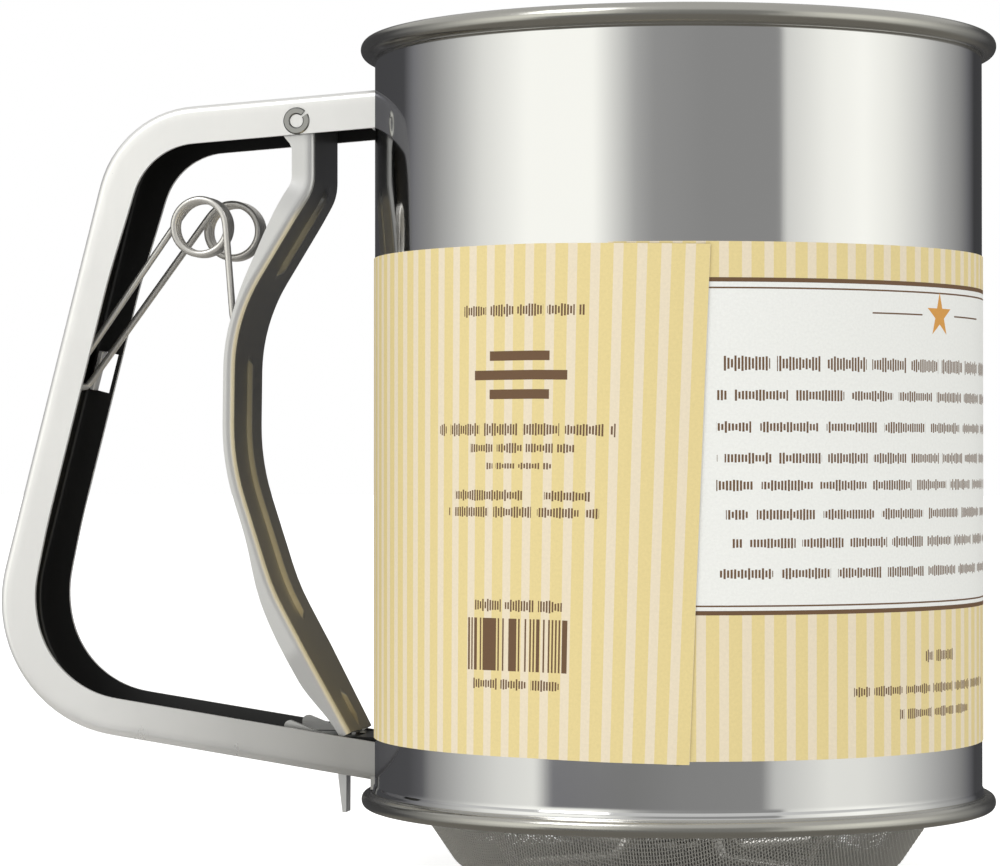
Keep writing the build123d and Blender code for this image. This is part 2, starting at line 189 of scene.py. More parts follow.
def resampled(line, spacing):
    """The same line with points at even spacing along it."""
    runs = np.linalg.norm(np.diff(line, axis=0), axis=1)
    keep = np.concatenate([[True], runs > 1e-9])
    line = line[keep]
    length = np.concatenate([[0], np.cumsum(np.linalg.norm(np.diff(line, axis=0), axis=1))])
    count = max(2, int(round(length[-1] / spacing)) + 1)
    at = np.linspace(0, length[-1], count)
    return np.stack([np.interp(at, length, line[:, k]) for k in range(line.shape[1])], 1)


def normals_of(line):
    """Unit normals to the left of a plane line, at each of its points."""
    t = np.gradient(line, axis=0)
    t /= np.linalg.norm(t, axis=1)[:, None]
    return np.stack([-t[:, 1], t[:, 0]], 1)


def sheet_outline(line, thickness):
    """Closed outline of a bent sheet: its middle line moved half its thickness to each side."""
    n = normals_of(line) * thickness / 2
    return np.concatenate([line + n, (line - n)[::-1]])


def turned(name, outline, segments=288, smooth_angle=35.0):
    """A closed outline in (radius, height) carried round the cup's axis."""
    t = np.linspace(0, 2 * np.pi, segments, endpoint=False)
    r, z = outline[:, 0], outline[:, 1]
    points = np.stack([np.outer(np.cos(t), r), np.outer(np.sin(t), r), np.tile(z, (segments, 1))], -1)
    faces = grid_faces(segments, len(outline), True, True)
    return make_piece(name, points.reshape(-1, 3), faces, smooth_angle)


def tube(path, radius, sides=10):
    """Points and faces of a round bar along a path in space, with closed, slightly domed ends.

    The ring is carried from point to point by the smallest turn, so it never twists."""
    path = np.asarray(path, float)
    tangent = np.gradient(path, axis=0)
    tangent /= np.linalg.norm(tangent, axis=1)[:, None]
    first = np.cross(tangent[0], [0.31, 0.52, 0.8])
    normal = np.empty_like(path)
    normal[0] = first / np.linalg.norm(first)
    for k in range(1, len(path)):
        flat = normal[k - 1] - tangent[k] * (normal[k - 1] @ tangent[k])
        normal[k] = flat / np.linalg.norm(flat)
    other = np.cross(tangent, normal)
    t = np.linspace(0, 2 * np.pi, sides, endpoint=False)
    rings = path[:, None] + radius * (
        np.cos(t)[None, :, None] * normal[:, None] + np.sin(t)[None, :, None] * other[:, None]
    )
    cap = 0.35 * radius
    start = path[0] - tangent[0] * cap + (rings[0] - path[0]) * 0.7
    stop = path[-1] + tangent[-1] * cap + (rings[-1] - path[-1]) * 0.7
    rings = np.concatenate([start[None], rings, stop[None]])
    count = len(rings)
    tips = [path[0] - tangent[0] * cap, path[-1] + tangent[-1] * cap]
    points = np.concatenate([rings.reshape(-1, 3), tips])
    faces = grid_faces(count, sides, False, True)
    k = np.arange(sides)
    k2 = (k + 1) % sides
    a = np.stack([np.full(sides, count * sides), k2, k], 1)
    last = (count - 1) * sides
    b = np.stack([np.full(sides, count * sides + 1), last + k, last + k2], 1)
    return points, [tuple(face) for part in (faces, a, b) for face in part.tolist()]


def linked(name, mesh):
    """An object with a mesh, put in the scene."""
    piece = bpy.data.objects.new(name, mesh)
    bpy.context.scene.collection.objects.link(piece)
    return piece


def rod_piece(name, path, radius, sides=10):
    """A round bar along a path as a piece."""
    points, faces = tube(path, radius, sides)
    mesh = bpy.data.meshes.new(name)
    mesh.from_pydata((points * MM).tolist(), [], faces)
    mesh.polygons.foreach_set("use_smooth", np.ones(len(mesh.polygons), bool))
    mesh.update()
    return linked(name, mesh)


# ---- node groups and materials ----
def new_group(name, inputs, outputs):
    """A shader node group with the named inputs and outputs."""
    group = bpy.data.node_groups.new(name, "ShaderNodeTree")
    for label, kind, value in inputs:
        socket = group.interface.new_socket(label, in_out="INPUT", socket_type=kind)
        if value is not None:
            socket.default_value = value
    for label, kind in outputs:
        group.interface.new_socket(label, in_out="OUTPUT", socket_type=kind)
    return group, group.nodes.new("NodeGroupInput"), group.nodes.new("NodeGroupOutput")


def maths(tree, operation, *values, clamp=False):
    """A Math node with its inputs set or linked; returns its output."""
    node = tree.nodes.new("ShaderNodeMath")
    node.operation = operation
    node.use_clamp = clamp
    for k, value in enumerate(values):
        if isinstance(value, (int, float)):
            node.inputs[k].default_value = value
        else:
            tree.links.new(value, node.inputs[k])
    return node.outputs[0]


def noise(tree, vector, scale, detail=3.0, roughness=0.5, stretch=None):
    """A noise texture on a vector, stretched along the axes if asked; returns its value."""
    if stretch is not None:
        mapping = tree.nodes.new("ShaderNodeMapping")
        mapping.inputs["Scale"].default_value = stretch
        tree.links.new(vector, mapping.inputs["Vector"])
        vector = mapping.outputs[0]
    node = tree.nodes.new("ShaderNodeTexNoise")
    node.inputs["Scale"].default_value = scale
    node.inputs["Detail"].default_value = detail
    node.inputs["Roughness"].default_value = roughness
    tree.links.new(vector, node.inputs["Vector"])
    return node.outputs["Fac"]


def spread(tree, value, low, high, to_low, to_high):
    """A Map Range node from one span to another, clamped."""
    node = tree.nodes.new("ShaderNodeMapRange")
    tree.links.new(value, node.inputs["Value"])
    for label, number in zip(("From Min", "From Max", "To Min", "To Max"), (low, high, to_low, to_high)):
        node.inputs[label].default_value = number
    return node.outputs[0]


def mixed(tree, factor, a, b):
    """A colour mix; each side is a colour or an output."""
    node = tree.nodes.new("ShaderNodeMix")
    node.data_type = "RGBA"
    sides = [s for s in node.inputs if s.type == "RGBA"]
    if isinstance(factor, (int, float)):
        node.inputs[0].default_value = factor
    else:
        tree.links.new(factor, node.inputs[0])
    for socket, value in zip(sides, (a, b)):
        if isinstance(value, tuple):
            socket.default_value = (*value, 1.0)
        else:
            tree.links.new(value, socket)
    return [s for s in node.outputs if s.type == "RGBA"][0]


def new_material(name):
    """A material with nodes; returns it, its tree and its shader."""
    material = bpy.data.materials.new(name)
    material.use_nodes = True
    return material, material.node_tree, material.node_tree.nodes["Principled BSDF"]


def coordinates(tree, kind):
    """An output of a Texture Coordinate node, and its three parts."""
    vector = tree.nodes.new("ShaderNodeTexCoord").outputs[kind]
    split = tree.nodes.new("ShaderNodeSeparateXYZ")
    tree.links.new(vector, split.inputs[0])
    return vector, split.outputs


def build_sheen_group():
    """Finish of rolled steel sheet: fine grain along one direction, soft smudges and small ripples."""
    group, start, end = new_group(
        "steel_surface",
        [
            ("Vector", "NodeSocketVector", None),
            ("Grain", "NodeSocketFloat", 0.05),
            ("Smudge", "NodeSocketFloat", 0.05),
            ("Ripple", "NodeSocketFloat", 0.02),
            ("Base Roughness", "NodeSocketFloat", 0.1),
        ],
        [("Roughness", "NodeSocketFloat"), ("Shade", "NodeSocketFloat"), ("Normal", "NodeSocketVector")],
    )
    vector = start.outputs["Vector"]
    fine = noise(group, vector, 900.0, 4.0, 0.6, stretch=(1.0, 1.0, 0.04))
    broad = noise(group, vector, 45.0, 5.0, 0.65)
    wave = noise(group, vector, 28.0, 1.0, 0.4)
    grain = maths(group, "MULTIPLY", maths(group, "SUBTRACT", fine, 0.5), start.outputs["Grain"])
    smudge = maths(group, "MULTIPLY", maths(group, "SUBTRACT", broad, 0.45), start.outputs["Smudge"])
    rough = maths(group, "ADD", maths(group, "ADD", grain, smudge), start.outputs["Base Roughness"])
    group.links.new(maths(group, "MAXIMUM", rough, 0.02), end.inputs["Roughness"])
    shade = maths(group, "SUBTRACT", 1.0, maths(group, "MULTIPLY", maths(group, "ABSOLUTE", smudge), 0.8))
    group.links.new(shade, end.inputs["Shade"])
    height_sum = maths(
        group, "ADD",
        maths(group, "MULTIPLY", fine, start.outputs["Grain"]),
        maths(group, "MULTIPLY", wave, start.outputs["Ripple"]),
    )
    bump = group.nodes.new("ShaderNodeBump")
    bump.inputs["Strength"].default_value = 0.35
    bump.inputs["Distance"].default_value = 0.0004
    group.links.new(height_sum, bump.inputs["Height"])
    group.links.new(bump.outputs[0], end.inputs["Normal"])
    return group


steel_group = build_sheen_group()


def faded(tree, parts, colour, other, spans):
    """Another colour, painted on as shade or light, that comes in from the first value to the second along an axis.

    With more than one span, it shows only where all of them do."""
    share = 1.0
    for axis, none, full in spans:
        low, high = sorted((none, full))
        part = spread(tree, parts[axis], low * MM, high * MM, float(none > full), float(full > none))
        share = maths(tree, "MULTIPLY", part, share)
    return mixed(tree, share, colour, other)


def steel(
    name, colour, roughness, grain=0.05, smudge=0.05, ripple=0.02, metallic=1.0, mirrored=None, painted_fade=None,
):
    """A steel finish: base colour dimmed by smudges, roughness and bump from the shared group.

    With a mirrored colour, the piece has that colour where other steel shows its reflection, a painted
    reflection. With painted_fade, another colour comes in along the piece as painted shade or light."""
    material, tree, shader = new_material(name)
    shader.inputs["Metallic"].default_value = metallic
    vector, parts = coordinates(tree, "Object")
    finish = tree.nodes.new("ShaderNodeGroup")
    finish.node_tree = steel_group
    tree.links.new(vector, finish.inputs["Vector"])
    values = {"Grain": grain, "Smudge": smudge, "Ripple": ripple, "Base Roughness": roughness}
    for label, value in values.items():
        finish.inputs[label].default_value = value
    dark = tuple(0.55 * c for c in colour)
    colour_out = mixed(tree, finish.outputs["Shade"], dark, colour)
    if painted_fade is not None:
        colour_out = faded(tree, parts, colour_out, *painted_fade)
    if mirrored is not None:
        path = tree.nodes.new("ShaderNodeLightPath")
        colour_out = mixed(tree, path.outputs["Is Glossy Ray"], colour_out, mirrored)
    tree.links.new(colour_out, shader.inputs["Base Color"])
    tree.links.new(finish.outputs["Roughness"], shader.inputs["Roughness"])
    tree.links.new(finish.outputs["Normal"], shader.inputs["Normal"])
    return material


polished = steel("polished_steel", (0.80, 0.80, 0.80), 0.07, grain=0.01, smudge=0.06, ripple=0.05)
rim_steel = steel("rolled_rim_steel", (0.55, 0.54, 0.50), 0.22, grain=0.05, smudge=0.2, ripple=0.2)
# Painted shade: the handle's lower arm darkens towards the cup below 30 mm height, and the handle's reflection in
# other steel is painted near black.
satin = steel(
    "satin_steel", (0.97, 0.965, 0.95), 0.33, grain=0.12, smudge=0.4, ripple=0.1, metallic=0.7,
    mirrored=(0.10, 0.10, 0.11), painted_fade=((0.46, 0.455, 0.44), [("X", -100.0, -55.0), ("Z", 36.0, 30.0)]),
)
flange_steel = steel(
    "lever_flange_steel", (0.84, 0.84, 0.83), 0.30, grain=0.03, smudge=0.06, ripple=0.06, metallic=0.8,
    mirrored=(0.25, 0.25, 0.25),
)
# Painted shade: the lever's web is a much darker copy of the flanges' steel; below 80 mm height it turns a lighter
# warm grey, painted light, fully so under 44 mm.
lever_web_painted_shade = steel(
    "lever_web_painted_shade_steel", (0.24, 0.243, 0.247), 0.30, grain=0.0, smudge=0.06, ripple=0.08, metallic=0.85,
    painted_fade=((0.54, 0.52, 0.46), [("Z", 80.0, 44.0)]),
)
# Painted shade: a near-black steel for the inside of the handle's channel, standing for the shade in it.
channel_painted_shade = steel("channel_inside_steel", (0.10, 0.10, 0.10), 0.5, grain=0.1, smudge=0.2, ripple=0.2)
inner_steel = steel("inner_part_steel", (0.55, 0.55, 0.54), 0.32, grain=0.1, smudge=0.15, ripple=0.1)
pin_steel = steel("pin_steel", (0.50, 0.50, 0.48), 0.3, grain=0.05, smudge=0.1, ripple=0.1)
# Painted shade: the roll pin's bore is a matt near-black without gloss, standing for the shade inside it.
bore_painted_shade = steel("pin_bore_steel", (0.03, 0.03, 0.03), 0.9, metallic=0.0)
bore_painted_shade.node_tree.nodes["Principled BSDF"].inputs["Specular IOR Level"].default_value = 0.0
wire_steel = steel(
    "drawn_wire_steel", (0.86, 0.84, 0.80), 0.34, grain=0.0, smudge=0.04, ripple=0.0, metallic=0.85,
)
mesh_steel = steel(
    "sieve_wire_steel", (0.40, 0.39, 0.36), 0.65, grain=0.0, smudge=0.25, ripple=0.0, metallic=0.65,
)


# ---- label ----
paper_bottom, paper_top = paper_low[2], paper_high[2]
seam_turn = -78.3
overlap_turn = 16.0
front_turn = -79.3


def label_piece():
    """The paper sleeve: one turn and an overlap, its outer end lying over the inner one.

    A point is at (turn, height). The radius grows by the paper's thickness where the sheet lies on
    itself, in a soft step. Near its outer end the sheet is wound slightly askew."""
    thickness = 0.11
    turns = np.linspace(-overlap_turn, 360.0, 421)
    rows = np.linspace(0, 1, 15)
    t, v = np.meshgrid(turns, rows, indexing="ij")
    low, high = paper_bottom + 0.15, paper_top - 0.15
    z = low + v * (high - low)
    last = np.clip((t - 280.0) / 80.0, 0, 1) ** 2
    lean = math.tan(math.radians(2.35))
    middle = (low + high) / 2
    shift_mm = (z - middle) * lean * last
    angle = np.radians(seam_turn + t) + shift_mm / paper_radius
    z = z - 0.45 * np.clip((t - 330.0) / 30.0, 0, 1)
    step = np.clip((t - (360.0 - overlap_turn) + 2.0) / 2.5, 0, 1)
    step = step * step * (3 - 2 * step)
    radius = cup_radius + 0.06 + step * (thickness + 0.05)
    tip = np.clip((t - 357.0) / 3.0, 0, 1) ** 2
    radius = radius + tip * 0.12
    for rivet in (97.7, -82.3):
        away = (np.degrees(angle) - rivet + 180) % 360 - 180
        far = np.hypot(away * math.pi / 180 * paper_radius, z - (rivet_low[2] + rivet_high[2]) / 2)
        radius = radius + 0.46 * np.exp(-((far / 2.2) ** 4))
    skins = []
    for extra in (thickness, 0.0):
        r = radius + extra
        skins.append(np.stack([r * np.cos(angle), r * np.sin(angle), z], -1))
    points = np.concatenate([s.reshape(-1, 3) for s in skins])
    uv_u = (t - 360.0) * math.pi / 180 * paper_radius
    uv = np.stack([uv_u, v * (high - low)], -1).reshape(-1, 2)
    faces = shell_faces(*t.shape)[:, ::-1]
    return make_piece("paper_label", points, faces, 50.0, uv=np.concatenate([uv, uv]))


def band_mask(tree, value, low, high):
    """1 where a value lies between two limits."""
    above = maths(tree, "GREATER_THAN", value, low)
    below = maths(tree, "LESS_THAN", value, high)
    return maths(tree, "MULTIPLY", above, below)


def build_dash_group():
    """One row of print: runs as long as words, of short upright blocks of uneven height.

    It has no letter shapes."""
    values = {"U": 0.0, "V": 0.0, "From": 0.0, "To": 1.0, "Row": 0.0, "Half": 0.5, "Stroke": 1.0, "Word": 6.0}
    inputs = [(label, "NodeSocketFloat", value) for label, value in values.items()]
    group, start, end = new_group("dash_row", inputs, [("Mask", "NodeSocketFloat")])
    u, v = start.outputs["U"], start.outputs["V"]
    from_gap = maths(group, "SUBTRACT", v, start.outputs["Row"])
    right = maths(group, "GREATER_THAN", u, start.outputs["From"])
    left = maths(group, "LESS_THAN", u, start.outputs["To"])
    seed = maths(group, "MULTIPLY", start.outputs["Row"], 3.7)
    words = maths(group, "DIVIDE", u, start.outputs["Word"])
    word_share = maths(group, "FRACT", maths(group, "ADD", words, seed))
    word_mask = maths(group, "GREATER_THAN", word_share, 0.13)
    cell = maths(group, "ADD", maths(group, "DIVIDE", u, start.outputs["Stroke"]), seed)
    tall = group.nodes.new("ShaderNodeTexWhiteNoise")
    tall.noise_dimensions = "1D"
    group.links.new(maths(group, "ADD", maths(group, "FLOOR", cell), seed), tall.inputs["W"])
    uneven = spread(group, tall.outputs["Value"], 0.0, 1.0, 0.55, 1.05)
    reach = maths(group, "MULTIPLY", start.outputs["Half"], uneven)
    in_cell = maths(group, "LESS_THAN", maths(group, "ABSOLUTE", from_gap), reach)
    stroke = maths(group, "LESS_THAN", maths(group, "FRACT", cell), 0.62)
    ink = maths(group, "MULTIPLY", right, left)
    for mask in (stroke, word_mask, in_cell):
        ink = maths(group, "MULTIPLY", ink, mask)
    group.links.new(ink, end.inputs["Mask"])
    return group


dash_group = build_dash_group()


def label_material():
    """Printed paper: yellow and cream stripes, a framed white panel, rules and rows of plain dashes."""
    material, tree, shader = new_material("printed_paper")
    paper, parts = coordinates(tree, "UV")
    u, v = parts["X"], parts["Y"]

    def both(a, b):
        return maths(tree, "MULTIPLY", a, b)

    def either(a, b):
        return maths(tree, "MAXIMUM", a, b)

    def box_mask(u_low, u_high, v_low, v_high):
        return both(band_mask(tree, u, u_low, u_high), band_mask(tree, v, v_low, v_high))

    def dashes(u_low, u_high, row, half, stroke, word):
        node = tree.nodes.new("ShaderNodeGroup")
        node.node_tree = dash_group
        tree.links.new(u, node.inputs["U"])
        tree.links.new(v, node.inputs["V"])
        values = {"From": u_low, "To": u_high, "Row": row, "Half": half, "Stroke": stroke, "Word": word}
        for label, value in values.items():
            node.inputs[label].default_value = value
        return node.outputs["Mask"]

    period = 3.57
    along_stripes = maths(tree, "ADD", u, 1000.0 * period + 2.1)
    share = maths(tree, "FRACT", maths(tree, "DIVIDE", along_stripes, period))
    stripe = maths(tree, "LESS_THAN", share, 0.58)
    yellow, cream, white = (0.70, 0.575, 0.27), (0.725, 0.635, 0.48), (0.77, 0.775, 0.75)
    brown, orange = (0.14, 0.075, 0.035), (0.62, 0.30, 0.06)
    base = mixed(tree, stripe, cream, yellow)

    # the white panel begins at the seam and runs to the right
    turn_mm = math.pi / 180 * paper_radius
    lap = -360.0 * turn_mm
    panel_middle = lap + 51.1 * turn_mm
    panel_half = 51.0
    panel_left, panel_right = panel_middle - panel_half, panel_middle + panel_half
    base_v = paper_bottom + 0.15
    top_v, low_v = 96.1 - base_v, 44.8 - base_v
    base = mixed(tree, box_mask(panel_left, panel_right, low_v, top_v), base, white)
    thick, thin = 0.34, 0.13
    rules = box_mask(panel_left, panel_right, top_v - thick, top_v + thick)
    for row, half in ((low_v, thick), (top_v - 1.25, thin), (low_v + 1.05, thin)):
        rules = either(rules, box_mask(panel_left, panel_right, row - half, row + half))
    ornament_v = 91.3 - base_v
    for side in (-1, 1):
        near, far = sorted((panel_middle + side * 4.9, panel_middle + side * 16.3))
        rules = either(rules, box_mask(near, far, ornament_v - 0.12, ornament_v + 0.12))

    rows = []
    for k, z in enumerate((83.2, 78.3, 73.4, 68.6, 64.4, 59.9, 55.5, 50.8)):
        half = 1.15 if k == 0 else 0.85
        indent = (0.0, 0.0, 0.0, 0.0, 0.0, 1.5, 2.5, 0.0)[k]
        reach = 43.0 - indent
        rows.append((panel_middle - reach, panel_middle + reach, z - base_v, half, 0.55, 8.5 + 1.3 * (k % 3)))
    for z, reach, half in ((37.3, 4.2, 0.95), (32.2, 20.0, 0.8), (28.4, 10.5, 0.8)):
        rows.append((panel_middle - reach, panel_middle + reach, z - base_v, half, 0.5, 7.0))
    middle = -29.6
    for z, reach, half, word in (
        (91.7, 11.0, 0.95, 5.2), (73.1, 16.3, 1.0, 7.3), (70.2, 9.9, 0.75, 5.4),
        (67.4, 6.0, 0.5, 4.3), (62.8, 12.6, 0.85, 30.0), (60.2, 14.0, 0.85, 8.1),
        (45.6, 8.2, 0.95, 6.1), (33.3, 8.4, 0.85, 5.7),
    ):
        rows.append((middle - reach, middle + reach, z - base_v, half, 0.5, word))
    ink = rules
    for row in rows:
        ink = either(ink, dashes(*row))

    # plain bars: widths come from a hash of the bar's number
    bars_u = maths(tree, "FLOOR", maths(tree, "DIVIDE", u, 0.3))
    hash_node = tree.nodes.new("ShaderNodeTexWhiteNoise")
    hash_node.noise_dimensions = "1D"
    tree.links.new(bars_u, hash_node.inputs["W"])
    inked = maths(tree, "GREATER_THAN", hash_node.outputs["Value"], 0.47)
    bars = both(inked, box_mask(middle - 9.5, middle + 9.5, 35.4 - base_v, 43.6 - base_v))
    ink = either(ink, bars)

    # a plain stack of bars as the ornament on the left
    for z, reach, half in ((84.6, 5.4, 0.75), (81.6, 8.4, 0.75), (78.6, 5.4, 0.75)):
        ink = either(ink, box_mask(middle - reach, middle + reach, z - half - base_v, z + half - base_v))
    base = mixed(tree, ink, base, brown)

    # a plain five-pointed star on the right: its edge is a straight line in each tenth of a turn
    du = maths(tree, "SUBTRACT", u, panel_middle)
    dv = maths(tree, "SUBTRACT", v, ornament_v)
    angle = maths(tree, "ARCTAN2", du, dv)
    fold = maths(tree, "PINGPONG", maths(tree, "ADD", angle, 4 * math.pi), math.pi / 5)
    far = maths(tree, "SQRT", maths(tree, "ADD", both(du, du), both(dv, dv)))
    along = both(far, maths(tree, "COSINE", fold))
    aside = both(far, maths(tree, "SINE", fold))
    edge = maths(tree, "ADD", maths(tree, "MULTIPLY", along, 0.309), maths(tree, "MULTIPLY", aside, 0.951))
    base = mixed(tree, maths(tree, "LESS_THAN", edge, 0.309 * 3.7), base, orange)

    fibre = noise(tree, paper, 2.2, 5.0, 0.7)
    mottling = spread(tree, fibre, 0.25, 0.75, 0.93, 1.04)
    tint = tree.nodes.new("ShaderNodeMix")
    tint.data_type = "RGBA"
    tint.blend_type = "MULTIPLY"
    tint.inputs[0].default_value = 1.0
    colour_sockets = [s for s in tint.inputs if s.type == "RGBA"]
    tree.links.new(base, colour_sockets[0])
    grey = tree.nodes.new("ShaderNodeCombineColor")
    for label in ("Red", "Green", "Blue"):
        tree.links.new(mottling, grey.inputs[label])
    tree.links.new(grey.outputs[0], colour_sockets[1])
    tree.links.new([s for s in tint.outputs if s.type == "RGBA"][0], shader.inputs["Base Color"])
    tree.links.new(spread(tree, fibre, 0.3, 0.7, 0.5, 0.62), shader.inputs["Roughness"])
    bump = tree.nodes.new("ShaderNodeBump")
    bump.inputs["Strength"].default_value = 0.15
    bump.inputs["Distance"].default_value = 0.0002
    tree.links.new(fibre, bump.inputs["Height"])
    tree.links.new(bump.outputs[0], shader.inputs["Normal"])
    shader.inputs["Specular IOR Level"].default_value = 0.35
    return material


# ---- cup ----
def wall_line():
    """Middle line of the cup's sheet in (radius, height): foot, wall, then the rolled rim."""
    r = cup_radius - wall / 2
    steps = [
        (1.25, 0.9), (0.72, 0.95), (0.5, 1.1), (0.34, 1.4), (0.25, 1.8), (0.22, 2.1), (0.04, 2.3), (0.0, 2.5),
    ]
    foot = [(r + out, bead_z + up) for out, up in steps]
    centre = (cup_radius + 0.75, height - rim_radius)
    curl = arc(centre, rim_radius - wall / 2, 214.0, -128.0, 44)
    join = [(r, centre[1] - 2.3), (r - 0.03, centre[1] - 1.6), (r - 0.16, centre[1] - 1.1)]
    straight = np.stack([np.full(24, r), np.linspace(bead_z + 3.3, centre[1] - 2.9, 24)], 1)
    return np.concatenate([foot, straight, join, curl])


def cup_piece():
    """The cup's wall turned about its axis, with the drive link's slot left out of both skins."""
    slot_half = 7.6
    low, high = link_low[2] - 0.3, link_low[2] + link_sheet + 0.25
    line = wall_line()
    r = cup_radius - wall / 2
    straight = np.abs(line[:, 0] - r) < 1e-6
    first, last = straight.nonzero()[0][[0, -1]]
    at = first + np.searchsorted(line[first:last, 1], [low, high])
    line = np.insert(line, at, [(r, low), (r, high)], axis=0)
    n = normals_of(line) * wall / 2
    skins = [line - n, line + n]
    slot_angle = math.degrees(math.asin(slot_half / cup_radius))
    around = np.linspace(180 + slot_angle, 540 - slot_angle, 352)
    inside = np.linspace(180 - slot_angle, 180 + slot_angle, 13)[1:-1] + 360
    t = np.radians(np.concatenate([around, inside]))
    columns, count = len(t), len(line)
    points = []
    for skin in skins:
        heights = np.tile(skin[:, 1][:, None], (1, columns))
        ring = [np.outer(skin[:, 0], np.cos(t)), np.outer(skin[:, 0], np.sin(t)), heights]
        points.append(np.stack(ring, -1).reshape(-1, 3))
    quads = grid_faces(count, columns, False, True)
    rows_of = quads[:, 0] // columns
    cols_of = quads[:, 0] % columns
    heights = line[rows_of, 1]
    in_slot = (heights > low - 1e-6) & (heights < high - 1e-6) & (cols_of >= len(around) - 1)
    kept = quads[~in_slot]
    first, last = int(rows_of[in_slot].min()), int(rows_of[in_slot].max()) + 1
    total = columns * count
    faces = [kept, kept[:, ::-1] + total]
    c = np.arange(columns)
    c2 = (c + 1) % columns
    faces.append(np.stack([c, c + total, c2 + total, c2], 1)[:, ::-1])
    tip = (count - 1) * columns
    faces.append(np.stack([tip + c, tip + c + total, tip + c2 + total, tip + c2], 1))
    slot_columns = np.arange(len(around) - 1, columns)
    nxt = (slot_columns + 1) % columns
    for row, flip in ((first, 1), (last, -1)):
        a = row * columns
        faces.append(np.stack([a + slot_columns, a + slot_columns + total, a + nxt + total, a + nxt], 1)[:, ::flip])
    rows = np.arange(first, last)
    for column, flip in ((len(around) - 1, -1), (0, 1)):
        a, b = rows * columns + column, (rows + 1) * columns + column
        faces.append(np.stack([a, a + total, b + total, b], 1)[:, ::flip])
    faces = np.concatenate(faces)
    curl_start = int(np.argmax(line[:, 1] > height - rim_radius - 1.5))
    row = faces[:, 0] % total // columns
    slots = ((row >= curl_start) | (row < 3)).astype(int)
    finishes = [polished, rim_steel]
    return make_piece("cup_wall", np.concatenate(points), faces, 40.0, slots=slots, materials=finishes)


def ring_piece():
    """The crimped bead: a round section turned about the axis, slightly flattened by the crimp."""
    t = np.radians(np.linspace(0, 360, 28, endpoint=False))
    squeeze = 1.0 - 0.05 * np.cos(2 * t)
    r = np.minimum(bead_reach + bead_radius * squeeze * np.cos(t), ring_high[0])
    return turned("crimped_base_ring", np.stack([r, bead_z + bead_radius * np.sin(t)], 1), 288)


# ---- sieve ----
floor_radius, brim_radius = 36.4, 44.2


def sieve_height(r):
    """Height of the pressed bowl's middle surface at a radius: flat floor, leaning side, flat brim."""
    floor, brim = 0.3, bead_z + 0.15
    corner_points = [(0, floor), (floor_radius, floor), (brim_radius, brim), (53.0, brim)]
    line = rounded(corner_points, [4.0, 2.5], 8.0)
    return np.interp(r, line[:, 0], line[:, 1])


def sieve_wires(name, along_x, low, high):
    """One band of the weave: wires side by side that pass over and under the crossing ones.

    Each wire is a four-sided bar whose height swings up and down by the wire's radius from one
    crossing to the next, laid on the bowl."""
    pitch, radius, reach = 0.46, 0.125, 52.0
    count = int(reach / pitch)
    lines = np.arange(-count, count + 1)
    lines = lines[(lines * pitch >= low) & (lines * pitch < high)]
    stations = np.arange(-count, count + 1)
    ring = np.radians([45, 135, 225, 315])
    all_points, all_faces, base = [], [], 0
    for line in lines:
        half = math.sqrt(max(reach ** 2 - (line * pitch) ** 2, 1.0))
        s = stations[np.abs(stations * pitch) <= half]
        if len(s) < 3:
            continue
        p, q = s * pitch, np.full(len(s), line * pitch)
        sign = np.where((s + line) % 2 == 0, 1.0, -1.0) * (1 if along_x else -1)
        z = sieve_height(np.hypot(p, q)) + sign * radius * 0.9
        slope = np.gradient(z, p)
        lean = 1 / np.sqrt(1 + slope ** 2)
        ups, sides = np.sin(ring) * radius, np.cos(ring) * radius
        pp = p[:, None] - slope[:, None] * lean[:, None] * ups
        zz = z[:, None] + lean[:, None] * ups
        qq = q[:, None] + np.broadcast_to(sides, pp.shape)
        block = np.stack([pp, qq, zz] if along_x else [qq, pp, zz], -1).reshape(-1, 3)
        quads = grid_faces(len(s), 4, False, True) + base
        caps = np.array([[0, 3, 2, 1], [-4, -3, -2, -1]]) + [[base], [base + 4 * len(s)]]
        faces = np.concatenate([quads, caps[:, ::-1]])
        all_faces.append(faces if along_x else faces[:, ::-1])
        all_points.append(block)
        base += len(block)
    return make_piece(name, np.concatenate(all_points), np.concatenate(all_faces)[:, ::-1], 180.0)


# ---- handle ----
upper_wall = np.array([-cup_radius, 130.6])
upper_turn = np.array([-cup_radius - 44.2, 127.6])
lower_turn = np.array([-cup_radius - 70.6, 25.2])
lower_wall = np.array([-cup_radius, 14.6])
handle_half = (handle_high[1] - handle_low[1]) / 2
window_z = pivot[1] - 40.9
handle_sheet, handle_depth = 0.75, 6.4


def channel_section(half, depth, sheet, fold, web_points=7):
    """Outer and inner skin of a folded channel in (depth, across), from one free edge to the other."""
    down = [depth, fold + 0.6 * (depth - fold), fold + 0.2 * (depth - fold)]
    web = np.linspace(-half + fold, half - fold, web_points + 2)[1:-1]
    skins = []
    for inset, bend in ((0.0, fold), (sheet, max(fold - sheet, 0.2))):
        side = half - inset
        skins.append(np.concatenate([
            [(d, -side) for d in down],
            arc((inset + bend, -side + bend), bend, 270, 180, 7),
            [(inset, y) for y in web],
            arc((inset + bend, side - bend), bend, 180, 90, 7),
            [(d, side) for d in down[::-1]],
        ]))
    return skins


